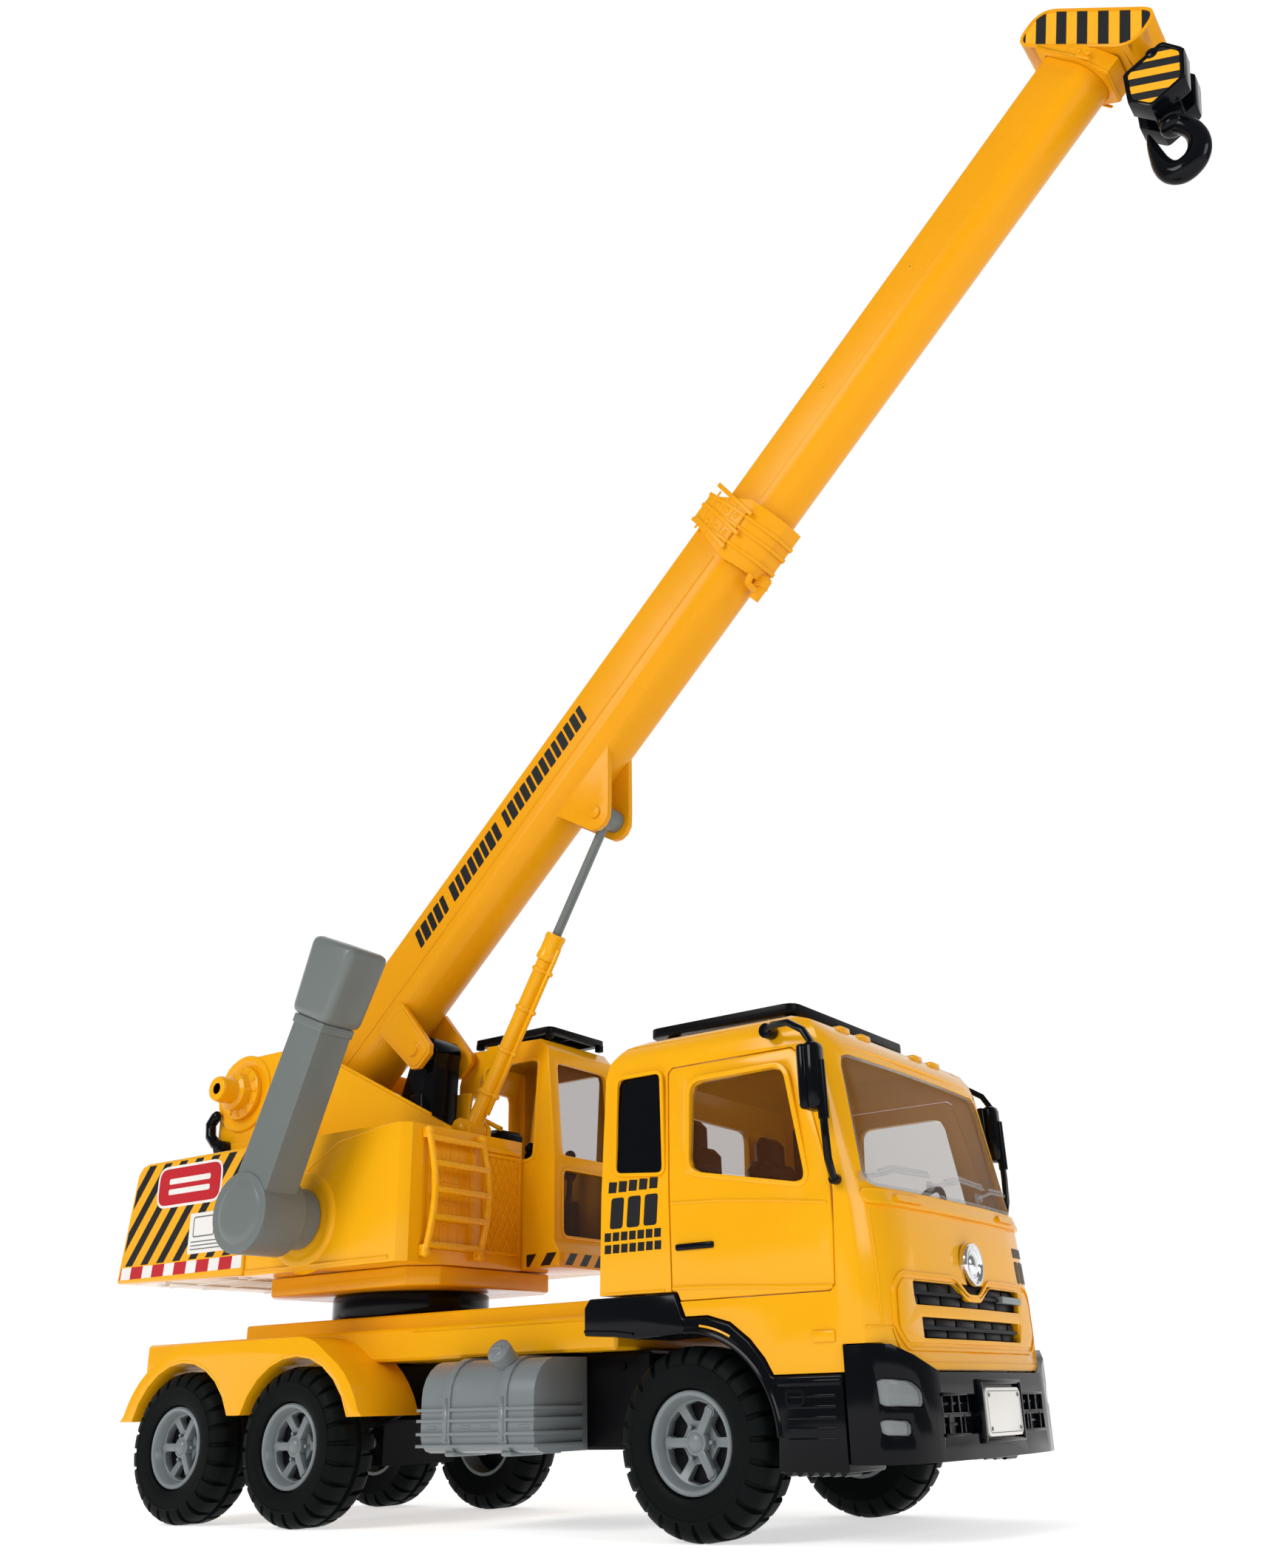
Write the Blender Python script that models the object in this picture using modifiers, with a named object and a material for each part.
"""Toy telescopic crane truck: every piece as its own closed solid.

Lengths below are millimetres in the truck's design frame: X forward, Y to the truck's left,
Z up, with X = 0 over the front axle, Y = 0 on the truck's centre plane and Z = 0 on the ground.
The empty "truck_origin" shifts that frame so the world origin is the centre of the whole footprint.
"""

import math

import bmesh
import bpy
from mathutils import Matrix, Vector

MM = 0.001
ORIGIN_SHIFT = (58.0, 13.5, 0.0)

# Gaps and walls
GAP = 0.35
WALL = 3.0

# Running gear
TYRE_RADIUS = 40.0
TYRE_WIDTH = 31.0
TYRE_OUTER_Y = 94.0
RIM_RADIUS = 21.6
AXLE_RADIUS = 3.2
AXLES_X = {"front": 0.0, "mid": -260.0, "rear": -355.0}
ARCH_RADIUS = 45.0

# Cab
CAB_HALF_WIDTH = 91.0
DOOR_HINGE_X = 77.6

# Turntable and superstructure
SLEW_X = -262.0
RING_RADIUS = 47.0
RING_BOTTOM = 106.3
RING_TOP = 120.0
TURRET_BOTTOM = 131.0
TURRET_TOP = 206.0
TURRET_HALF_WIDTH = 84.0
TURRET_FRONT = -190.0
WALL_Y = (30.0, 36.0)

# Boom: u runs along it from the pivot, w stands square to it
PIVOT = (-248.0, 266.0)
ELEVATION = math.radians(42.3)
BOOM_TOP = 69.0
BOOM_CREASE = 41.5
BOOM_HALF = 20.0
BOOM_WALL = 2.4
INNER_TOP = 66.0
INNER_CREASE = 41.0
INNER_HALF = 16.8
BOOM_REAR = -58.0
COLLAR = (364.0, 404.0)
INNER_REAR = 335.0
HEAD_U = 732.0
HEAD_LEAN = 0.2
CLEVIS_U = 190.5
CLEVIS_W = 2.0
HOOK_PIN = (300.5, 760.5)

# Lift cylinder
CYLINDER_FOOT = (-217.0, 214.0)
BARREL_LENGTH = 132.0

# Side crank
CRANK_AXIS = (-270.0, 159.0)
CRANK_ANGLE = math.radians(66.0)
CRANK_REACH = 158.0

YELLOW = ("yellow_plastic", (0.90, 0.50, 0.01, 1), 0.28, 0.0)
BOOM_YELLOW = ("boom_plastic", (0.80, 0.40, 0.008, 1), 0.33, 0.0)
BLACK = ("black_plastic", (0.012, 0.013, 0.016, 1), 0.3, 0.0)
RUBBER = ("tyre_rubber", (0.018, 0.019, 0.02, 1), 0.65, 0.0)
SILVER = ("silver_plastic", (0.48, 0.5, 0.52, 1), 0.35, 0.3)
GREY = ("crank_grey", (0.2, 0.23, 0.26, 1), 0.4, 0.0)
CHROME = ("chrome", (0.8, 0.8, 0.82, 1), 0.1, 1.0)
CLEAR = ("clear_plastic", (0.75, 0.6, 0.45, 0.35), 0.08, 0.0)
WHITE = ("white_plastic", (0.85, 0.83, 0.78, 1), 0.4, 0.0)
CHARCOAL = ("charcoal_plastic", (0.045, 0.048, 0.055, 1), 0.45, 0.0)


# ------------------------------------------------------------------ scene and materials

for old in list(bpy.data.objects):
    bpy.data.objects.remove(old, do_unlink=True)

PARTS = bpy.data.collections.new("toy_crane_truck")
bpy.context.scene.collection.children.link(PARTS)


def material(spec):
    """The Principled material of one plastic, made on its first use."""
    name, colour, roughness, metallic = spec
    found = bpy.data.materials.get(name)
    if found:
        return found
    made = bpy.data.materials.new(name)
    made.use_nodes = True
    shader = made.node_tree.nodes["Principled BSDF"]
    shader.inputs["Base Color"].default_value = colour[:3] + (1,)
    shader.inputs["Alpha"].default_value = colour[3]
    shader.inputs["Roughness"].default_value = roughness
    shader.inputs["Metallic"].default_value = metallic
    made.diffuse_color = colour
    return made


def empty(name, at=(0, 0, 0), parent=None):
    """An empty at a design point, for a joint's axis."""
    made = bpy.data.objects.new(name, None)
    made.empty_display_size = 0.02
    PARTS.objects.link(made)
    made.location = Vector(at) * MM
    if parent:
        base = Vector(parent["design_at"])
        made.parent = parent
        made.location = (Vector(at) - base) * MM
    made["design_at"] = tuple(float(v) for v in at)
    return made


ROOT = empty("truck_origin")
ROOT.location = Vector(ORIGIN_SHIFT) * MM


# ------------------------------------------------------------------ shape helpers (mm in, metres out)

def from_bmesh(bm, name="shape"):
    """A linked object made from a bmesh whose numbers are millimetres."""
    bmesh.ops.scale(bm, vec=(MM, MM, MM), verts=bm.verts)
    bmesh.ops.recalc_face_normals(bm, faces=bm.faces)
    mesh = bpy.data.meshes.new(name)
    bm.to_mesh(mesh)
    bm.free()
    made = bpy.data.objects.new(name, mesh)
    PARTS.objects.link(made)
    return made


def box(lo, hi, bevel=0.0, segments=1):
    """A box between two corners, with rounded edges if asked."""
    bm = bmesh.new()
    bmesh.ops.create_cube(bm, size=1.0)
    size = [b - a for a, b in zip(lo, hi)]
    middle = [(a + b) / 2 for a, b in zip(lo, hi)]
    bmesh.ops.scale(bm, vec=size, verts=bm.verts)
    bmesh.ops.translate(bm, vec=middle, verts=bm.verts)
    if bevel:
        bmesh.ops.bevel(bm, geom=bm.edges[:], offset=bevel, segments=segments, affect="EDGES", profile=0.5)
    return from_bmesh(bm)


def cone(start, end, radius, end_radius=None, sides=24):
    """A cylinder or cone between two points."""
    start, end = Vector(start), Vector(end)
    axis = end - start
    bm = bmesh.new()
    bmesh.ops.create_cone(
        bm,
        cap_ends=True,
        segments=sides,
        radius1=radius,
        radius2=radius if end_radius is None else end_radius,
        depth=axis.length,
    )
    turn = axis.to_track_quat("Z", "Y").to_matrix().to_4x4()
    bmesh.ops.transform(bm, matrix=Matrix.Translation((start + end) / 2) @ turn, verts=bm.verts)
    return from_bmesh(bm)


def ball(centre, radius, rings=8):
    """A round knob."""
    bm = bmesh.new()
    bmesh.ops.create_uvsphere(bm, u_segments=rings * 2, v_segments=rings, radius=radius)
    bmesh.ops.translate(bm, vec=centre, verts=bm.verts)
    return from_bmesh(bm)


def mesh_of(curve_object):
    """Turns a curve object into a welded mesh object and removes the curve."""
    bpy.context.view_layer.update()
    graph = bpy.context.evaluated_depsgraph_get()
    mesh = bpy.data.meshes.new_from_object(curve_object.evaluated_get(graph))
    bm = bmesh.new()
    bm.from_mesh(mesh)
    bmesh.ops.remove_doubles(bm, verts=bm.verts, dist=1e-6)
    bmesh.ops.recalc_face_normals(bm, faces=bm.faces)
    bm.to_mesh(mesh)
    bm.free()
    made = bpy.data.objects.new("shape", mesh)
    PARTS.objects.link(made)
    made.matrix_world = curve_object.matrix_world
    bpy.data.objects.remove(curve_object, do_unlink=True)
    return made


def plate(outline, frame, thickness, holes=()):
    """A flat outline, with holes, extruded from its plane along the frame's third axis."""
    curve = bpy.data.curves.new("outline", "CURVE")
    curve.dimensions = "2D"
    curve.fill_mode = "BOTH"
    curve.extrude = thickness * MM / 2
    for points in (outline, *holes):
        spline = curve.splines.new("POLY")
        spline.points.add(len(points) - 1)
        spline.use_cyclic_u = True
        for point, (a, b) in zip(spline.points, points):
            point.co = (a * MM, b * MM, 0, 1)
    drawn = bpy.data.objects.new("outline", curve)
    PARTS.objects.link(drawn)
    made = mesh_of(drawn)
    lift = Matrix.Translation((0, 0, thickness * MM / 2))
    made.data.transform(frame @ lift)
    return made


def side_plate(outline, y_low, y_high, holes=()):
    """An XZ outline filling the space between two Y values."""
    frame = Matrix(((1, 0, 0, 0), (0, 0, -1, y_high * MM), (0, 1, 0, 0), (0, 0, 0, 1)))
    return plate(outline, frame, y_high - y_low, holes)


def plan_plate(outline, z_low, z_high, holes=()):
    """An XY outline filling the space between two Z values."""
    return plate(outline, Matrix.Translation((0, 0, z_low * MM)), z_high - z_low, holes)


def front_plate(outline, x_low, x_high, holes=()):
    """A YZ outline filling the space between two X values."""
    frame = Matrix(((0, 0, 1, x_low * MM), (1, 0, 0, 0), (0, 1, 0, 0), (0, 0, 0, 1)))
    return plate(outline, frame, x_high - x_low, holes)


def turned(profile, centre, axis="Y", steps=32):
    """A (radius, along) profile turned about an axis; it is closed, or starts and ends on the axis."""
    mesh = bpy.data.meshes.new("profile")
    count = len(profile)
    points = [(r * MM, 0, a * MM) for r, a in profile]
    ends_on_axis = profile[0][0] == 0 and profile[-1][0] == 0
    last = count - 1 if ends_on_axis else count
    mesh.from_pydata(points, [(i, (i + 1) % count) for i in range(last)], [])
    made = bpy.data.objects.new("turned", mesh)
    PARTS.objects.link(made)
    screw = made.modifiers.new("turn", "SCREW")
    screw.steps = screw.render_steps = steps
    screw.use_merge_vertices = True
    screw.merge_threshold = 0.00001
    screw.use_smooth_shade = False
    bake(made)
    turn = Matrix.Rotation(math.radians(-90), 4, "X") if axis == "Y" else Matrix.Identity(4)
    made.data.transform(Matrix.Translation(Vector(centre) * MM) @ turn)
    tidy_normals(made)
    return made


def tidy_normals(obj):
    bm = bmesh.new()
    bm.from_mesh(obj.data)
    bmesh.ops.recalc_face_normals(bm, faces=bm.faces)
    bm.to_mesh(obj.data)
    bm.free()


def tube(points, radius, sides=2):
    """A round bar bent through the points."""
    curve = bpy.data.curves.new("bar", "CURVE")
    curve.dimensions = "3D"
    curve.bevel_depth = radius * MM
    curve.bevel_resolution = sides
    curve.use_fill_caps = True
    spline = curve.splines.new("POLY")
    spline.points.add(len(points) - 1)
    for point, at in zip(spline.points, points):
        point.co = tuple(v * MM for v in at) + (1,)
    drawn = bpy.data.objects.new("bar", curve)
    PARTS.objects.link(drawn)
    return mesh_of(drawn)


def bake(obj):
    """Applies an object's modifiers."""
    bpy.context.view_layer.update()
    graph = bpy.context.evaluated_depsgraph_get()
    mesh = bpy.data.meshes.new_from_object(obj.evaluated_get(graph))
    obj.modifiers.clear()
    obj.data = mesh
    return obj


def combine(target, tools, operation):
    """Joins, cuts or intersects the target with each tool, which is used up."""
    for tool in tools:
        step = target.modifiers.new(operation.lower(), "BOOLEAN")
        step.operation = operation
        step.object = tool
        bake(target)
        bpy.data.objects.remove(tool, do_unlink=True)
    return target


def join(target, *tools):
    return combine(target, tools, "UNION")


def cut(target, *tools):
    return combine(target, tools, "DIFFERENCE")


def overlap(target, *tools):
    return combine(target, tools, "INTERSECT")


def copy(obj):
    made = obj.copy()
    made.data = obj.data.copy()
    PARTS.objects.link(made)
    return made


def mirrored(obj):
    """A copy on the truck's other side."""
    made = copy(obj)
    bm = bmesh.new()
    bm.from_mesh(made.data)
    bmesh.ops.scale(bm, vec=(1, -1, 1), verts=bm.verts)
    bmesh.ops.reverse_faces(bm, faces=bm.faces)
    bm.to_mesh(made.data)
    bm.free()
    return made


def finish(obj, name, spec, parent):
    """Names the piece, colours it, shades it and hangs it on its joint's empty."""
    obj.name = name
    obj.data.name = name
    obj.data.materials.clear()
    obj.data.materials.append(material(spec))
    bm = bmesh.new()
    bm.from_mesh(obj.data)
    bmesh.ops.remove_doubles(bm, verts=bm.verts, dist=2e-6)
    bmesh.ops.dissolve_limit(bm, angle_limit=math.radians(0.5), verts=bm.verts, edges=bm.edges)
    bmesh.ops.triangulate(bm, faces=[f for f in bm.faces if len(f.verts) > 4])
    bm.to_mesh(obj.data)
    bm.free()
    obj.data.shade_smooth()
    obj.data.set_sharp_from_angle(angle=math.radians(32))
    base = Vector(parent["design_at"]) if "design_at" in parent else Vector((0, 0, 0))
    obj.data.transform(Matrix.Translation(-base * MM))
    obj.parent = parent
    return obj


def arc(centre, radius, start, end, count):
    """Points along a circular arc, angles in degrees."""
    return [
        (
            centre[0] + radius * math.cos(math.radians(start + (end - start) * i / count)),
            centre[1] + radius * math.sin(math.radians(start + (end - start) * i / count)),
        )
        for i in range(count + 1)
    ]


def rect(a_low, b_low, a_high, b_high, radius=0.0, count=3):
    """A rectangle's outline with rounded corners."""
    if not radius:
        return [(a_low, b_low), (a_high, b_low), (a_high, b_high), (a_low, b_high)]
    points = arc((a_high - radius, b_low + radius), radius, -90, 0, count)
    points += arc((a_high - radius, b_high - radius), radius, 0, 90, count)
    points += arc((a_low + radius, b_high - radius), radius, 90, 180, count)
    points += arc((a_low + radius, b_low + radius), radius, 180, 270, count)
    return points


def grown(outline, amount):
    """The outline pushed outwards by the amount, or pulled in where it is negative."""
    count = len(outline)
    area = sum(
        outline[i][0] * outline[(i + 1) % count][1] - outline[(i + 1) % count][0] * outline[i][1]
        for i in range(count)
    )
    side = 1 if area > 0 else -1
    result = []
    for i in range(count):
        before, here, after = (Vector(outline[j % count]) for j in (i - 1, i, i + 1))
        one = (here - before).normalized()
        two = (after - here).normalized()
        normal_one = Vector((one.y, -one.x)) * side
        normal_two = Vector((two.y, -two.x)) * side
        bisector = (normal_one + normal_two).normalized()
        reach = amount / max(bisector.dot(normal_one), 0.3)
        result.append(tuple(here + bisector * reach))
    return result


def along_boom(u, w, y=0.0):
    """A design point from the boom's own coordinates."""
    c, s = math.cos(ELEVATION), math.sin(ELEVATION)
    return (PIVOT[0] + u * c - w * s, y, PIVOT[1] + u * s + w * c)


def boom_frame(u):
    """Matrix whose local X is the truck's Y, local Y the boom's w, and local Z the boom's u."""
    c, s = math.cos(ELEVATION), math.sin(ELEVATION)
    at = Vector(along_boom(u, 0)) * MM
    return Matrix(((0, -s, c, at.x), (1, 0, 0, at.y), (0, c, s, at.z), (0, 0, 0, 1)))


def boom_bar(outline, u_low, u_high, holes=()):
    """A (y, w) section swept along the boom."""
    return plate(outline, boom_frame(u_low), u_high - u_low, holes)


def boom_side_plate(outline, y_low, y_high, holes=()):
    """A (u, w) outline standing along the boom between two Y values."""
    c, s = math.cos(ELEVATION), math.sin(ELEVATION)
    px, pz = PIVOT
    frame = Matrix(((c, -s, 0, px * MM), (0, 0, -1, y_high * MM), (s, c, 0, pz * MM), (0, 0, 0, 1)))
    return plate(outline, frame, y_high - y_low, holes)


# ------------------------------------------------------------------ chassis

def build_frame():
    """The black ladder frame with an axle block at each axle."""
    frame = box((-172, -45, 36), (-53, 45, 80.8), 1.5)
    spine = box((-424, -30, 50), (88, 30, 80.6), 1.5)
    join(frame, spine)
    for x in AXLES_X.values():
        join(frame, box((x - 9, -30, 28), (x + 9, 30, 60)))
        cut(frame, cone((x, -60, TYRE_RADIUS), (x, 60, TYRE_RADIUS), AXLE_RADIUS + 0.6, sides=16))
    cut(frame, box((-140, -33, 30), (-85, 33, 70)))
    cut(frame, box((-50, -22, 40), (-14, 22, 90)), box((14, -22, 40), (80, 22, 90)))
    cut(frame, box((-240, -22, 40), (-185, 22, 90)))
    return finish(frame, "chassis_frame", BLACK, ROOT)


def build_deck():
    """The yellow deck, its raised turntable bed, and the double-arch fender on each side."""
    deck = box((-430, -62, 81.2), (-62, 62, 98), 1.5)
    join(deck, box((-352, -50, 96), (-66, 50, RING_BOTTOM - 0.3), 1.0))
    mid, rear = AXLES_X["mid"], AXLES_X["rear"]
    outline = [(mid + 54, 54)]
    outline += arc((mid + 4, 40), 50, 20, 62, 5)
    outline += arc((mid + 2, 64), 31, 55, 90, 4)
    outline += arc((rear - 2, 64), 31, 90, 125, 4)
    outline += arc((rear - 4, 40), 50, 118, 160, 5)
    outline += [(rear - 54, 54), (rear - 43, 54)]
    outline += arc((rear, TYRE_RADIUS), ARCH_RADIUS, 162, 21, 10)
    outline += [((mid + rear) / 2, 56)]
    outline += arc((mid, TYRE_RADIUS), ARCH_RADIUS, 159, 18, 10)
    fender = side_plate(outline, -92, -44)
    join(deck, mirrored(fender), fender)
    cut(deck, box((-420, -47, 30), (-190, 47, 81)))
    return finish(deck, "deck", YELLOW, ROOT)


def build_turntable_ring():
    """The black slewing ring on the deck, bored for the turret's spindle."""
    profile = [(14, RING_BOTTOM), (RING_RADIUS, RING_BOTTOM), (RING_RADIUS, RING_TOP - 1), (RING_RADIUS - 1, RING_TOP), (14, RING_TOP)]
    ring = turned(profile[::-1], (SLEW_X, 0, 0), "Z", 40)
    return finish(ring, "turntable_ring", BLACK, ROOT)


def build_tank(name, right):
    """A D-section fuel tank with two straps, two pairs of ribs and a filler cap."""
    outline = [(-45.5, 36)]
    outline += arc((-80, 44), 8, -90, -180, 3)
    outline += arc((-70, 61.3), 18, 180, 100, 5)
    outline += [(-45.5, 79.3)]
    tank = front_plate(outline, -167, -93)
    strap = [(min(y, -46), z) for y, z in grown(outline, 1.2)]
    for x in (-149, -112):
        join(tank, front_plate(strap, x - 2.5, x + 2.5))
    for z in (39.4, 44.9, 51, 56):
        join(tank, box((-169, -89.4, z - 0.7), (-91.5, -50, z + 0.7)))
    join(tank, cone((-118, -76, 76), (-118, -86, 83), 6, sides=16))
    if not right:
        other = mirrored(tank)
        bpy.data.objects.remove(tank, do_unlink=True)
        tank = other
    return finish(tank, name, SILVER, ROOT)


def build_wheelset(which, joint):
    """One axle with its two rims as a single turned piece, and two tyres."""
    x = AXLES_X[which]
    rim_face = TYRE_OUTER_Y - 1.5
    rim = [(0, rim_face - 3), (5, rim_face - 3), (7, rim_face - 8), (17, rim_face - 9), (19, rim_face)]
    rim += [(RIM_RADIUS, rim_face), (RIM_RADIUS, rim_face - 25), (8, rim_face - 25), (AXLE_RADIUS, rim_face - 29)]
    outline = [(r, -a) for r, a in rim] + [(r, a) for r, a in reversed(rim)]
    axle = turned(outline, (x, 0, TYRE_RADIUS), "Y", 20)
    finish(axle, "axle_" + which, SILVER, joint)
    for side, sign in (("right", -1), ("left", 1)):
        outer, inner = TYRE_OUTER_Y, TYRE_OUTER_Y - TYRE_WIDTH
        seat = RIM_RADIUS + 0.3
        section = [(seat, outer - 2), (seat + 2, outer), (32, outer), (37.5, outer - 2.5), (TYRE_RADIUS, outer - 7)]
        section += [(TYRE_RADIUS, inner + 6), (37, inner + 1.5), (32, inner), (seat, inner + 2)]
        tyre = turned([(r, sign * a) for r, a in section], (x, 0, TYRE_RADIUS), "Y", 32)
        finish(tyre, "tyre_" + which + "_" + side, RUBBER, joint)


# ------------------------------------------------------------------ cab

CAB_SIDE = [
    (-50, 104), (-5.5, 103.5), (-1, 92.5), (11, 92.5), (23, 89), (33, 81.5), (40, 73.5), (44, 66.5),
    (104.5, 66.5), (104, 71), (101.5, 75), (101, 104), (99, 136), (97.5, 140), (83, 207), (79, 214),
    (71, 220.5), (58, 225), (-20, 226.5), (-36, 222.5), (-44, 215), (-46.5, 207),
]
CAB_INNER_SIDE = [
    (-46.8, 60), (98, 60), (97.8, 104), (95.8, 137), (80.5, 205), (75, 213), (57, 221.5), (-19, 223),
    (-33, 219.5), (-41, 213), (-43.4, 206),
]
WINDSHIELD = [(-83, 142.5), (83, 142.5), (78, 204.5), (-78, 204.5)]
DOOR_SIDE = [(-8.6, 99), (77, 99), (79.4, 144), (64, 208), (-8.6, 208)]
DOOR_WINDOW = [(4, 157), (66, 145.5), (57.5, 199), (6, 198.5)]
QUARTER_WINDOW = [(-40, 159.5), (-10.9, 157), (-10.9, 206.5), (-38, 206.5)]


def warp_cab(obj, half):
    """Bows the cab's face and rounds its front corners by moving points back near the sides."""
    bm = bmesh.new()
    bm.from_mesh(obj.data)
    for share in (0.3, 0.6, 0.8, 0.9, 0.96):
        for sign in (-1, 1):
            at = Vector((0, sign * share * half * MM, 0))
            bmesh.ops.bisect_plane(bm, geom=bm.verts[:] + bm.edges[:] + bm.faces[:], plane_co=at, plane_no=(0, 1, 0))
    for vert in bm.verts:
        x, y = vert.co.x / MM, abs(vert.co.y / MM) / half
        weight = min(max((x - 70) / 20, 0), 1)
        corner = max(y - 0.8, 0) / 0.2
        vert.co.x -= weight * (4.5 * y * y + 8 * corner * corner) * MM
    bm.to_mesh(obj.data)
    bm.free()
    return obj


def cab_solid(outline, inset):
    """The cab's volume: a side outline swept across, bowed, with the roof's edges rounded off."""
    half = CAB_HALF_WIDTH - inset
    body = warp_cab(side_plate(outline, -half, half), half)
    top = 226.8 - inset
    face = [(-half, 50), (half, 50), (half, 150), (half - 2.5, 206)]
    face += arc((half - 16, top - 14), 13.2, 0, 70, 4)
    face += [(half - 34, top), (-half + 34, top)]
    face += [(-a, b) for a, b in arc((half - 16, top - 14), 13.2, 70, 0, 4)]
    face += [(-half + 2.5, 206), (-half, 150)]
    return overlap(body, front_plate(face, -80, 130))


def cab_wall():
    return cut(cab_solid(CAB_SIDE, 0), cab_solid(CAB_INNER_SIDE, WALL))


def rounded(outline, radius, count=2):
    """The outline with each corner replaced by a short curve."""
    result = []
    size = len(outline)
    for i in range(size):
        before, here, after = (Vector(outline[j % size]) for j in (i - 1, i, i + 1))
        reach = min(radius, 0.45 * (before - here).length, 0.45 * (after - here).length)
        start = here + (before - here).normalized() * reach
        end = here + (after - here).normalized() * reach
        for k in range(count + 1):
            t = k / count
            result.append(tuple((1 - t) ** 2 * start + 2 * t * (1 - t) * here + t * t * end))
    return result


def corner_cut(offset):
    """The wedge below each front corner of the cab where the bumper rises."""
    outline = [(-96, 77.2 + offset), (-85, 77.2 + offset), (-57.5 + offset, 66 + offset), (-57.5 + offset, 20), (-96, 20)]
    return outline


def build_cab():
    """The cab shell and every pane and door that fits its openings."""
    solid = cab_wall()
    for sign in (-1, 1):
        wedge = front_plate([(sign * -a, b) for a, b in corner_cut(0.3)], 78.5, 130)
        cut(solid, wedge)

    windshield = rounded(WINDSHIELD, 7)
    door = rounded(DOOR_SIDE, 2.5, 1)
    pane = rounded(DOOR_WINDOW, 6)
    quarter = rounded(QUARTER_WINDOW, 4)
    rear = rounded(rect(-44, 150, 44, 198), 6)

    glass = overlap(copy(solid), front_plate(grown(windshield, -GAP), 60, 130))
    finish(glass, "windshield", CLEAR, ROOT)
    glass = overlap(copy(solid), front_plate(grown(rear, -GAP), -70, -20))
    finish(glass, "rear_window", CLEAR, ROOT)
    for side, low, high in (("right", -95, -60), ("left", 60, 95)):
        glass = overlap(copy(solid), side_plate(grown(quarter, -GAP), low, high))
        finish(glass, "quarter_window_" + side, BLACK, ROOT)
        hinge = DOOR_JOINTS[side]
        leaf = overlap(copy(solid), side_plate(grown(door, -GAP), low, high))
        cut(leaf, box((78.0, low, 90), (90, high, 215)))
        cut(leaf, side_plate(pane, low, high))
        inner_y, outer_y = (-92.4, -90) if side == "right" else (90, 92.4)
        join(leaf, box((-5, inner_y, 121.5), (16, outer_y, 124.2), 0.6))
        finish(leaf, "door_" + side, YELLOW, hinge)
        glass = overlap(copy(solid), side_plate(grown(pane, -GAP), low, high))
        finish(glass, "door_window_" + side, CLEAR, hinge)

    shell = cut(
        solid,
        front_plate(windshield, 60, 130),
        front_plate(rear, -70, -20),
        side_plate(quarter, -95, 95),
        side_plate(door, -95, 95),
    )
    cut(shell, front_plate(rounded(rect(-55, 78.5, 55, 89.5), 1.5, 1), 90, 130))
    cut(shell, front_plate(rounded(rect(-60, 93, 60, 104), 1.5, 1), 90, 130))
    return finish(shell, "cab_shell", YELLOW, ROOT)


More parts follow.
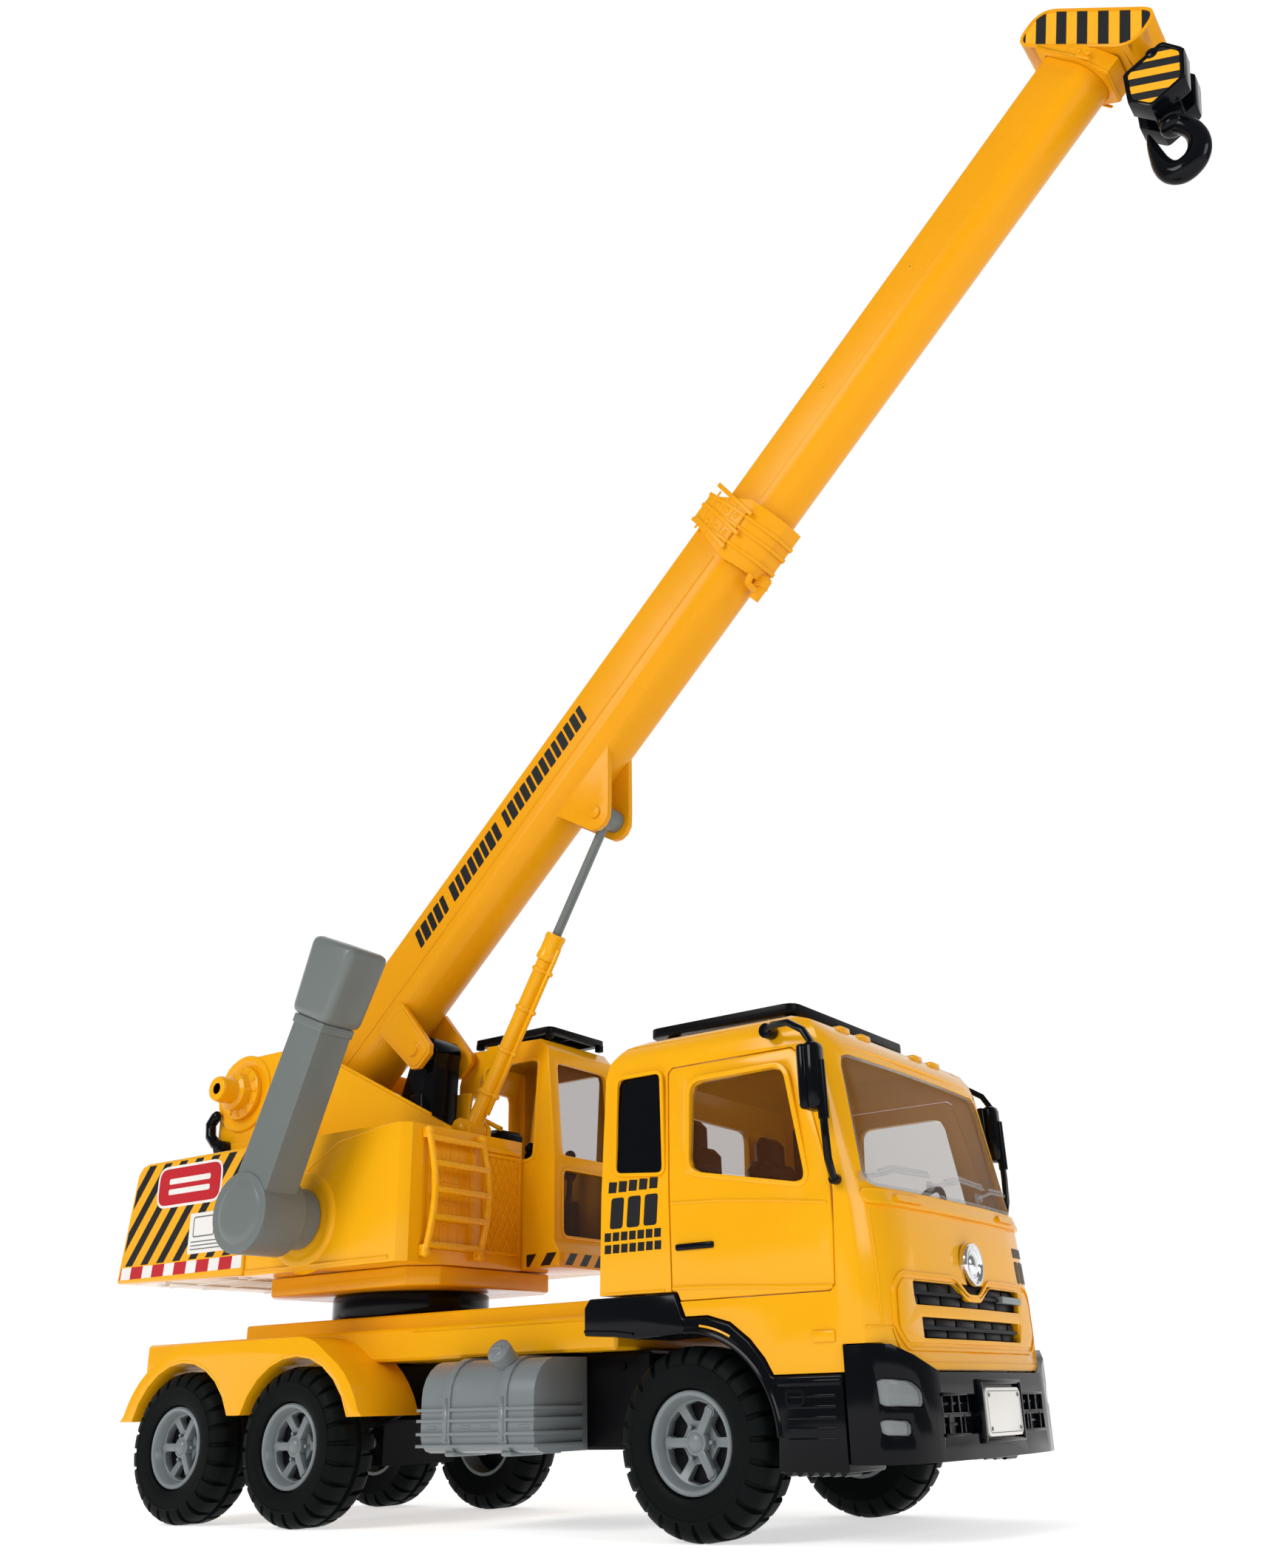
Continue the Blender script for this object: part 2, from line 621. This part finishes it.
def build_cab_trim():
    """Grille, badge, roof rack, mirrors, interior and steering wheel."""
    grille = box((91, -62, 77), (94.3, 62, 105.5))
    join(grille, front_plate(rounded(rect(-54.4, 79, 54.4, 89), 1.5, 1), 93.5, 98.6))
    join(grille, front_plate(rounded(rect(-59.4, 93.5, 59.4, 103.5), 1.5, 1), 93.5, 98.6))
    for low, high, half in ((79, 89, 54.4), (93.5, 103.5, 59.4)):
        middle = (low + high) / 2
        for top, bottom in ((high, middle + 0.9), (middle - 0.9, low)):
            for i in range(5):
                width = half * 2 / 5
                y = -half + width * (i + 0.5)
                cut(grille, box((96.6, y - width / 2 + 1, bottom), (99, y + width / 2 - 1, top)))
    finish(grille, "grille", CHARCOAL, ROOT)

    badge = cone((101.5, 0, 112), (104.2, 0, 112), 10, 9, 28)
    finish(badge, "badge", CHROME, ROOT)

    rack = plan_plate(rect(-38, -62, 50, 62, 6), 232.5, 237, [rect(-30 + 13 * i, -55, -21 + 13 * i, 55) for i in range(6)])
    for x in (-30, 42):
        for y in (-50, 50):
            join(rack, box((x - 2.5, y - 2.5, 226.9), (x + 2.5, y + 2.5, 234)))
    finish(rack, "roof_rack", BLACK, ROOT)

    bar = [(52, -93.5, 216), (58, -98, 217), (68, -101, 216), (76, -102.5, 211), (81, -102.5, 203)]
    bar += [(83, -102.5, 190), (83.5, -102, 165), (83.5, -101, 153), (83.3, -98, 147), (82, -94, 145)]
    mirror = tube(bar, 1.8, 1)
    join(mirror, box((76.5, -107, 174), (84, -96.5, 205), 3, 2))
    join(mirror, cone((52, -88.8, 216), (52, -95, 216), 3.6, sides=12))
    join(mirror, cone((82, -91.4, 145), (82, -95, 145), 2.4, sides=12))
    finish(mirrored(mirror), "mirror_left", BLACK, ROOT)
    finish(mirror, "mirror_right", BLACK, ROOT)

    inside = box((-42, -84, 106), (86, 84, 109))
    join(inside, box((70, -76, 108), (88, 76, 134), 4))
    for y in (-40, 40):
        join(inside, box((-24, y - 20, 108), (20, y + 20, 136), 4))
        join(inside, box((-34, y - 20, 120), (-20, y + 20, 178), 4))
        join(inside, box((-33, y - 12, 174), (-23, y + 12, 192), 4))
    join(inside, cone((80, 40, 130), (66, 40, 139), 3, sides=10))
    finish(inside, "cab_interior", BLACK, ROOT)

    wheel = tube_ring((62.5, 40, 141.3), (-14, 0, 9), 16, 1.8)
    join(wheel, cone((65.3, 40, 139.5), (61.5, 40, 142), 5, sides=12))
    axis = Vector((-14, 0, 9)).normalized()
    centre = Vector((62.5, 40, 141.3))
    for turn in (90, 210, 330):
        across = Matrix.Rotation(math.radians(turn), 3, axis) @ Vector((0, 1, 0))
        join(wheel, cone(centre + across * 2.5, centre + across * 15.6, 1.6, sides=8))
    finish(wheel, "steering_wheel", BLACK, STEER_JOINT)


def tube_ring(centre, axis, radius, thickness, steps=20, sides=6):
    """A round ring about an axis through a centre."""
    profile = [
        (radius + thickness * math.cos(2 * math.pi * i / sides), thickness * math.sin(2 * math.pi * i / sides))
        for i in range(sides)
    ]
    ring = turned(profile, (0, 0, 0), "Z", steps)
    turn = Vector(axis).to_track_quat("Z", "Y").to_matrix().to_4x4()
    ring.data.transform(Matrix.Translation(Vector(centre) * MM) @ turn)
    return ring


def build_arch(side):
    """The black front wheel arch with the rear block and the step box ahead of the wheel."""
    outline = [(-59, 86.5), (-59, 99), (-56, 103), (-6.2, 102.8), (-2, 91.7), (11, 91.7), (22.7, 88.3), (32.5, 80.8), (39.3, 73), (43.5, 65.8)]
    outline += [(77.8, 65.8), (77.8, 28), (44, 28)]
    outline += arc((0, TYRE_RADIUS), ARCH_RADIUS, 3, 92, 9)
    outline += [(-30, 84), (-42, 85.5)]
    arch = side_plate(outline, -92, -58)
    cut(arch, box((40, -85, 36), (75, -50, 60)))
    if side == "left":
        other = mirrored(arch)
        bpy.data.objects.remove(arch, do_unlink=True)
        arch = other
    return finish(arch, "front_arch_" + side, BLACK, ROOT)


BUMPER_PLAN = [(79, -92), (90, -91), (97, -86), (103, -74), (106, -60), (108, -30), (108, 30), (106, 60), (103, 74), (97, 86), (90, 91), (79, 92)]
BUMPER_BACK = [(79, 84), (86, 81), (94, 66), (97, 50), (97, -50), (94, -66), (86, -81), (79, -84)]
HEADLIGHT = [(-89, 52.5), (-70.5, 52), (-70.5, 58.5), (-77, 63), (-89.5, 64)]
FOG_LIGHT = [(-89, 41.5), (-78, 41), (-78, 47.5), (-89.5, 48.5)]


def build_bumper():
    """The black bumper with its rising corners, the lamps, and the plate."""
    bumper = plan_plate(BUMPER_PLAN + BUMPER_BACK, 31, 77)
    middle = [(-110, 90), (-110, 77), (-84.6, 76.9), (-57.2, 65.8), (57.2, 65.8), (84.6, 76.9), (110, 77), (110, 90)]
    cut(bumper, front_plate(middle, 60, 130))
    panels = {}
    for name, outline in (("headlight", HEADLIGHT), ("fog_light", FOG_LIGHT)):
        for side, sign in (("right", 1), ("left", -1)):
            shape = rounded([(a * sign, b) for a, b in outline], 1.5, 1)
            lens = overlap(copy(bumper), front_plate(grown(shape, -GAP), 84, 120))
            panels[name + "_" + side] = lens
            cut(bumper, front_plate(shape, 84, 120))
    for name, lens in panels.items():
        finish(lens, name, CLEAR, ROOT)
    for low, high in ((-57, -23), (23, 57)):
        cut(bumper, box((104.6, low, 41), (112, high, 57)))
    for y in (-40, 40):
        join(bumper, box((103, y - 0.9, 40), (106.2, y + 0.9, 58)))
    join(bumper, box((103, -58, 48), (106.2, 58, 49.8)))
    finish(bumper, "bumper", BLACK, ROOT)
    number_plate = front_plate(rounded(rect(-20, 39.5, 20, 59.5), 2, 1), 108.35, 110.2)
    finish(number_plate, "licence_plate", WHITE, ROOT)


# ------------------------------------------------------------------ superstructure

def build_turret():
    """The slewing body, its base, the boom well's side walls and the cylinder's lugs."""
    front = TURRET_FRONT
    half = TURRET_HALF_WIDTH
    plan = [(-317.5, -half), (front - 5, -half), (front, -half + 5), (front, 17), (-251, 17), (-251, half), (-317.5, half)]
    body = plan_plate(plan, TURRET_BOTTOM, TURRET_TOP)
    low, high = WALL_Y
    wall = [(-317, 200), (-317, 206.9), (-344, 206.9), (-344, 271), (-330, 271), (-300, 261), (-221, 220), (-206, 212), (-202, 200)]
    for y_low, y_high in ((-high, -low), (low, high)):
        join(body, side_plate(wall, y_low, y_high))
    cut(body, box((-250.9, 16.9, 120), (-150, 90, 300)))
    cut(body, box((-342, -29.9, 152), (-236, 29.9, 300)))
    foot_x, foot_z = CYLINDER_FOOT
    for y_low, y_high in ((-11, -7.5), (7.5, 11)):
        lug = [(foot_x - 9, 195), (foot_x + 9, 195)] + arc((foot_x, foot_z), 7, -20, 200, 6)
        join(body, side_plate(lug, y_low, y_high))
    join(body, cone((foot_x, -10, foot_z), (foot_x, 10, foot_z), 2.6, sides=12))
    crank_x, crank_z = CRANK_AXIS
    join(body, cone((crank_x, -80, crank_z), (crank_x, -85.5, crank_z), 30, 26, 24))
    cut(body, cone((crank_x, -70, crank_z), (crank_x, -99, crank_z), 8.4, sides=20))
    finish(body, "turret_body", YELLOW, SLEW)

    base = [(-332, -48), (-318, -62), (-208, -62), (-194, -48), (-194, 48), (-208, 62), (-318, 62), (-332, 48)]
    skirt = plan_plate(base, RING_TOP + 0.4, TURRET_BOTTOM - 0.35)
    join(skirt, cone((SLEW_X, 0, RING_BOTTOM + 1), (SLEW_X, 0, RING_TOP + 2), 13, sides=24))
    finish(skirt, "turret_base", YELLOW, SLEW)

    outline = [(-438, 134), (-437, 140), (-428, 200), (-424, 205), (-418, 206.5), (-318, 206.5), (-318, 131.5), (-322, 131.5)]
    weight = side_plate(outline, -half - 1.5, half + 1.5)
    cut(weight, box((-428, -78, 120), (-326, 78, 137.5)))
    cut(weight, box((-372, -29.9, 152), (-310, 29.9, 210)))
    finish(weight, "counterweight", YELLOW, SLEW)


def build_winch():
    """The winch housing behind the boom, its drum boss and the black lever."""
    outline = [(-409, 207), (-409, 262)] + arc((-394, 263), 15, 180, 90, 4)[1:] + [(-345, 278), (-345, 207)]
    housing = side_plate(outline, -40, 40)
    cut(housing, cone((-385, -60, 254), (-385, 60, 254), 6.5, sides=20))
    finish(housing, "winch_housing", YELLOW, SLEW)
    profile = [(3.6, 64), (7.6, 64), (8.4, 62), (8.4, 52), (12, 51), (12, 45), (17.5, 44.4), (17.5, 40.5)]
    profile += [(5.8, 40.5), (5.8, -40.5), (10, -40.5), (10, -44), (3.6, -44)]
    drum = turned([(r, -a) for r, a in profile], (-385, 0, 254), "Y", 28)
    finish(drum, "winch_drum", YELLOW, DRUM_JOINT)
    lever = tube([(-398, -45, 219), (-404, -45, 222), (-410, -45, 228), (-411, -45, 236), (-406, -45, 241)], 3.6)
    join(lever, cone((-398, -40.5, 219), (-398, -48, 219), 5, sides=14))
    finish(lever, "lock_lever", BLACK, LEVER_JOINT)


def build_post():
    """The black upright that carries the boom's pivot pin."""
    px, pz = PIVOT
    outline = [(px - 24, 152.4), (px + 8, 152.4), (px + 7, 215)] + arc((px, pz), 10.5, -30, 190, 8) + [(px - 20, 238)]
    post = side_plate(outline, -12, 12)
    cut(post, cone((px, -30, pz), (px, 30, pz), 4.6, sides=20))
    return finish(post, "boom_post", BLACK, SLEW)


OPERATOR_SIDE = [(-250.5, 131.5), (-161, 131.5), (-161, 140), (-165, 146), (-165, 196), (-170, 262), (-176, 269), (-240, 271), (-246, 266), (-250.5, 250)]


def ear_notch(wall):
    """The corner that the operator's cab leaves free for the boom's pivot ear, with a wall round it."""
    return box((-260, 0, 243 - wall), (-221 + wall, 24.8 + wall, 300))


def build_operator_cab():
    """The crane operator's cab: shell, clear insert, seat with sticks, and roof guard."""
    low, high = 17.4, TURRET_HALF_WIDTH
    shell = side_plate(OPERATOR_SIDE, low, high)
    cut(shell, ear_notch(0))
    hollow = side_plate(grown(OPERATOR_SIDE, -3), low + 3, high - 3)
    cut(hollow, ear_notch(3))
    cut(shell, hollow)
    side = rounded([(-240, 196), (-182, 196), (-178, 256), (-232, 256)], 5)
    cut(shell, side_plate(side, 0, 100))
    cut(shell, front_plate(rounded(rect(26, 197, 76, 254), 4), -190, -150))
    cut(shell, front_plate(rounded(rect(26, 150, 76, 188), 3), -190, -150))
    cut(shell, front_plate(rounded(rect(28, 205, 74, 250), 4), -260, -235))
    finish(shell, "operator_cab", YELLOW, SLEW)

    outline = grown(OPERATOR_SIDE, -3.5)
    insert = side_plate(outline, low + 3.5, high - 3.5)
    cut(insert, side_plate(grown(OPERATOR_SIDE, -5), low + 5, high - 5))
    cut(insert, box((-260, 0, 100), (-150, 100, 143)), box((-260, 0, 100), (-240, 100, 300)))
    cut(insert, box((-260, 0, 100), (-170, 30, 300)))
    finish(insert, "operator_windows", CLEAR, SLEW)

    seat = box((-232, 34, 135.2), (-178, 66, 150), 1)
    join(seat, box((-232, 36, 148), (-200, 64, 178), 3), box((-243, 37, 168), (-232 + 6, 63, 222), 3))
    for y in (30, 70):
        join(seat, box((-214, y - 5, 146), (-190, y + 5, 176), 1.5))
        join(seat, cone((-196, y, 172), (-194, y, 192), 1.8, sides=10), box((-198, y - 3, 189), (-190, y + 3, 203), 2))
    finish(seat, "operator_seat", BLACK, SLEW)

    guard = plan_plate(rect(-236, 22, -172, 80, 4), 274, 277.5, [rect(-230 + 14 * i, 28, -220 + 14 * i, 74) for i in range(4)])
    for x in (-233, -175):
        for y in (25, 77):
            join(guard, box((x - 2, y - 2, 271.4 if x < -200 else 270.4), (x + 2, y + 2, 275)))
    finish(guard, "operator_roof_guard", BLACK, SLEW)


def build_ladder():
    """The short ladder up the turret's front: two bowed rails with ball ends and five rungs."""
    base = TURRET_FRONT + 0.35
    ladder = None
    for y in (-69, -24):
        rail = [(base + 3.1 + 6 * math.sin(math.pi * i / 6), y, 136 + 66 * i / 6) for i in range(7)]
        bar = tube(rail, 1.9, 1)
        join(bar, ball(rail[0], 3.0, 5), ball(rail[-1], 3.0, 5))
        join(bar, box((base, y - 2, 134), (base + 4, y + 2, 140)), box((base, y - 2, 198), (base + 4, y + 2, 204)))
        ladder = bar if ladder is None else join(ladder, bar)
    for i in range(5):
        t = 0.06 + 0.22 * i
        x = base + 3.1 + 6 * math.sin(math.pi * t)
        join(ladder, box((x - 2, -69, 136 + 66 * t - 1.5), (x + 2, -24, 136 + 66 * t + 1.5)))
    return finish(ladder, "ladder", YELLOW, SLEW)


def crank_frame():
    """Matrix with local X along the crank's arm, local Y square to it and local Z toward the truck's right."""
    c, s = math.cos(CRANK_ANGLE), math.sin(CRANK_ANGLE)
    x, z = CRANK_AXIS
    return Matrix(((c, -s, 0, x * MM), (0, 0, -1, 0), (s, c, 0, z * MM), (0, 0, 0, 1)))


def build_crank():
    """The big grey hand crank on the turret's right side."""
    x, z = CRANK_AXIS
    frame = crank_frame()
    hub = cone((x, -101, z), (x, -132, z), 22, sides=32)
    join(hub, cone((x, -85.9, z), (x, -103, z), 17, sides=32), cone((x, -74, z), (x, -90, z), 8, sides=20))
    arm = plate([(5, -14), (CRANK_REACH - 46.4, -12.5), (CRANK_REACH - 46.4, 12.5), (5, 14)], frame @ Matrix.Translation((0, 0, 107 * MM)), 23)
    join(hub, arm)
    finish(hub, "crank_arm", GREY, CRANK_JOINT)
    start, end = CRANK_REACH - 46, CRANK_REACH
    bm = bmesh.new()
    bmesh.ops.create_cube(bm, size=1.0)
    for vert in bm.verts:
        far = vert.co.x > 0
        vert.co.x = end if far else start
        vert.co.y *= 38 if far else 33
        vert.co.z = 118.5 + vert.co.z * 2 * (15.5 if far else 14.5)
    bmesh.ops.bevel(bm, geom=bm.edges[:], offset=5, segments=3, affect="EDGES", profile=0.5)
    grip = from_bmesh(bm)
    grip.data.transform(frame)
    finish(grip, "crank_grip", GREY, CRANK_JOINT)


# ------------------------------------------------------------------ boom

def boom_section(half, top, crease, corner=2.0):
    """The (y, w) section: flat top and sides over a round underside."""
    points = [(half, crease), (half, top - corner), (half - corner, top), (-half + corner, top), (-half, top - corner)]
    points += arc((0, crease), half, 180, 360, 10)[:-1]
    return points


def build_boom():
    """The outer boom with its pivot ears and clevis, the collar, the inner boom and the head."""
    section = boom_section(BOOM_HALF, BOOM_TOP, BOOM_CREASE)
    hollow = boom_section(BOOM_HALF - BOOM_WALL, BOOM_TOP - BOOM_WALL, BOOM_CREASE)
    outer = boom_bar(section, BOOM_REAR, COLLAR[0] + 16)
    ear = [(-9, -12), (11, -12), (13, 36), (-13, 36)]
    for low, high in ((-21.5, -17.7), (17.7, 21.5)):
        join(outer, boom_side_plate(rounded(ear, 4, 1), low, high))
    u, w = CLEVIS_U, CLEVIS_W
    clevis = [(u - 9, w - 9), (u + 2, w - 11.5), (u + 10, w - 4), (u + 40, w + 28), (u - 20, w + 28)]
    for low, high in ((-13, -9), (9, 13)):
        join(outer, boom_side_plate(rounded(clevis, 3, 1), low, high))
        stub = (low - 1.5, low + 0.5) if low < 0 else (high - 0.5, high + 1.5)
        join(outer, cone(along_boom(u, w, stub[0]), along_boom(u, w, stub[1]), 4, sides=14))
    join(outer, cone(along_boom(0, 0, -23.5), along_boom(0, 0, 23.5), 4, sides=16))
    cut(outer, boom_bar(hollow, BOOM_REAR + 4, COLLAR[1]))
    finish(outer, "boom_outer", BOOM_YELLOW, LIFT)

    low, high = COLLAR
    side = [(low + 10, 72.5), (high - 12, 72.5), (high, 40), (high, 16), (low + 2, 16), (low, 34)]
    collar = boom_side_plate(side, -23.5, 23.5)
    shape = boom_bar([(23.5, 76), (-23.5, 76), (-23.5, 40), (-18, 26), (-8, 17.5), (8, 17.5), (18, 26), (23.5, 40)], low - 5, high + 5)
    overlap(collar, shape)
    join(collar, cone(along_boom(low - 9, 15, 4), along_boom(low + 6, 15, 4), 3.5, sides=14))
    join(collar, cone(along_boom(low - 1, 16, 4), along_boom(low + 6, 18, 4), 5, sides=14))
    bore = boom_section(BOOM_HALF + GAP, BOOM_TOP + GAP, BOOM_CREASE)
    cut(collar, boom_bar(bore, low - 5, low + 16.4))
    throat = boom_section(INNER_HALF + GAP, INNER_TOP + GAP, INNER_CREASE)
    cut(collar, boom_bar(throat, low - 5, high + 5))
    finish(collar, "boom_collar", BOOM_YELLOW, LIFT)

    section = boom_section(INNER_HALF, INNER_TOP, INNER_CREASE)
    hollow = boom_section(INNER_HALF - BOOM_WALL, INNER_TOP - BOOM_WALL, INNER_CREASE)
    inner = boom_bar(section, INNER_REAR, HEAD_U - 2)
    cut(inner, boom_bar(hollow, INNER_REAR - 10, HEAD_U - 4))
    finish(inner, "boom_inner", BOOM_YELLOW, EXTEND)


def build_head():
    """The boom's head: socket collar, thick leaning oval and the lug that carries the hook block."""
    socket = [(21, 71), (-21, 71), (-21, 40), (-12, 20), (12, 20), (21, 40)]
    head = boom_bar(socket, HEAD_U - 9, HEAD_U + 3)
    bore = boom_section(INNER_HALF + GAP, INNER_TOP + GAP, INNER_CREASE)
    oval = rounded(rect(-13.5, 9.5, 13.5, 90), 13, 5)
    leaning = [(HEAD_U + 12 + a - HEAD_LEAN * (b - 49), b) for a, b in oval]
    join(head, boom_side_plate(leaning, -18.5, 18.5))
    lug = [(HEAD_U - 0.5, -4), (HEAD_U + 4, -10.5), (HEAD_U + 12, -8.5), (HEAD_U + 21, 20), (HEAD_U + 9, 24)]
    join(head, boom_side_plate(lug, -3.5, 3.5))
    cut(head, boom_bar(bore, HEAD_U - 12, HEAD_U - 1.6))
    x, z = HOOK_PIN
    cut(head, cone((x, -9, z), (x, 9, z), 2.9, sides=12))
    finish(head, "boom_head", BOOM_YELLOW, EXTEND)


def build_hook():
    """The hook block with its two hexagonal cheeks, and the hook on its swivel."""
    x, z = HOOK_PIN
    cheek = [(x - 17.5, z - 5.5), (x + 6.5, z + 4.5), (x + 17, z - 8), (x + 14, z - 29), (x - 6.5, z - 38.5), (x - 18, z - 27)]
    block = side_plate(cheek, -16.5, -5)
    join(block, side_plate(cheek, 5, 16.5), box((x - 8, -8, z - 34), (x + 8, 8, z - 25), 0.5))
    join(block, cone((x, -9, z), (x, 9, z), 2.4, sides=12), cone((x, 0, z - 30), (x, 0, z - 40), 6.5, sides=16))
    finish(block, "hook_block", BLACK, SWING)

    top = z - 40.4
    centre = (x + 2, top - 25.6)
    path = [(x, 0, top - 2), (x, 0, top - 5.5)]
    path += [(centre[0] + a, 0, centre[1] + b) for a, b in arc((0, 0), 13.8, 70, -160, 12)]
    path += [(centre[0] - a, 0, centre[1] + b) for a, b in ((16, 1.5), (18.5, 7.5), (20.5, 13.5))]
    radii = [5.4, 5.4] + [5.4 + 1.2 * math.sin(math.pi * i / 12) - 0.1 * i for i in range(13)] + [3.9, 3.0, 1.4]
    curve = bpy.data.curves.new("bar", "CURVE")
    curve.dimensions = "3D"
    curve.bevel_depth = MM
    curve.bevel_resolution = 2
    curve.use_fill_caps = True
    spline = curve.splines.new("POLY")
    spline.points.add(len(path) - 1)
    for point, at_point, radius in zip(spline.points, path, radii):
        point.co = tuple(v * MM for v in at_point) + (1,)
        point.radius = radius
    drawn = bpy.data.objects.new("bar", curve)
    PARTS.objects.link(drawn)
    hook = join(mesh_of(drawn), cone((x, 0, top), (x, 0, top - 5), 7, 6.4, 16))
    finish(hook, "hook", BLACK, SWIVEL)


def build_cylinder():
    """The lift cylinder: a hollow barrel on its foot pin and the grey rod with its eye."""
    foot = Vector((CYLINDER_FOOT[0], 0, CYLINDER_FOOT[1]))
    eye = Vector(along_boom(CLEVIS_U, CLEVIS_W))
    direction = (eye - foot).normalized()
    barrel = cone(foot, foot + direction * BARREL_LENGTH, 5.2, sides=20)
    join(barrel, cone(foot + direction * (BARREL_LENGTH - 17), foot + direction * (BARREL_LENGTH - 0.0), 6.3, sides=20))
    join(barrel, cone(foot + Vector((0, -7, 0)), foot + Vector((0, 7, 0)), 6.5, sides=18))
    cut(barrel, cone(foot + Vector((0, -9, 0)), foot + Vector((0, 9, 0)), 3.1, sides=16))
    cut(barrel, cone(foot + direction * 11, foot + direction * (BARREL_LENGTH + 5), 3.5, sides=18))
    rib = direction.cross(Vector((0, 1, 0)))
    side = -rib * 6.6
    join(barrel, cone(foot + direction * 14 + side, foot + direction * (BARREL_LENGTH - 8) + side, 1.6, sides=8))
    finish(barrel, "cylinder_barrel", YELLOW, TILT)
    rod = cone(foot + direction * 56, eye, 3.0, sides=18)
    join(rod, cone(eye + Vector((0, -7.5, 0)), eye + Vector((0, 7.5, 0)), 7.2, sides=20))
    finish(rod, "cylinder_rod", GREY, ROD_SLIDE)


# ------------------------------------------------------------------ joints' axes and assembly

SLEW = empty("axis_slew", (SLEW_X, 0, RING_TOP), ROOT)
LIFT = empty("axis_boom_lift", (PIVOT[0], 0, PIVOT[1]), SLEW)
EXTEND = empty("axis_boom_extend", along_boom(COLLAR[1], 50), LIFT)
SWING = empty("axis_hook_swing", (HOOK_PIN[0], 0, HOOK_PIN[1]), EXTEND)
SWIVEL = empty("axis_hook_swivel", (HOOK_PIN[0], 0, HOOK_PIN[1] - 40), SWING)
TILT = empty("axis_cylinder_tilt", (CYLINDER_FOOT[0], 0, CYLINDER_FOOT[1]), SLEW)
ROD_SLIDE = empty("axis_cylinder_rod", along_boom(CLEVIS_U, CLEVIS_W), TILT)
CRANK_JOINT = empty("axis_crank", (CRANK_AXIS[0], -100, CRANK_AXIS[1]), SLEW)
DRUM_JOINT = empty("axis_winch_drum", (-385, 0, 254), SLEW)
LEVER_JOINT = empty("axis_lock_lever", (-398, -45, 219), SLEW)
STEER_JOINT = empty("axis_steering_wheel", (62.5, 40, 141.3), ROOT)
DOOR_JOINTS = {
    "right": empty("axis_door_right", (DOOR_HINGE_X, -CAB_HALF_WIDTH, 150), ROOT),
    "left": empty("axis_door_left", (DOOR_HINGE_X, CAB_HALF_WIDTH, 150), ROOT),
}

build_frame()
build_deck()
build_turntable_ring()
build_tank("fuel_tank_right", True)
build_tank("fuel_tank_left", False)
for which in AXLES_X:
    build_wheelset(which, empty("axis_wheels_" + which, (AXLES_X[which], 0, TYRE_RADIUS), ROOT))
build_cab()
build_cab_trim()
build_arch("right")
build_arch("left")
build_bumper()
build_turret()
build_winch()
build_post()
build_operator_cab()
build_ladder()
build_crank()
build_boom()
build_head()
build_hook()
build_cylinder()
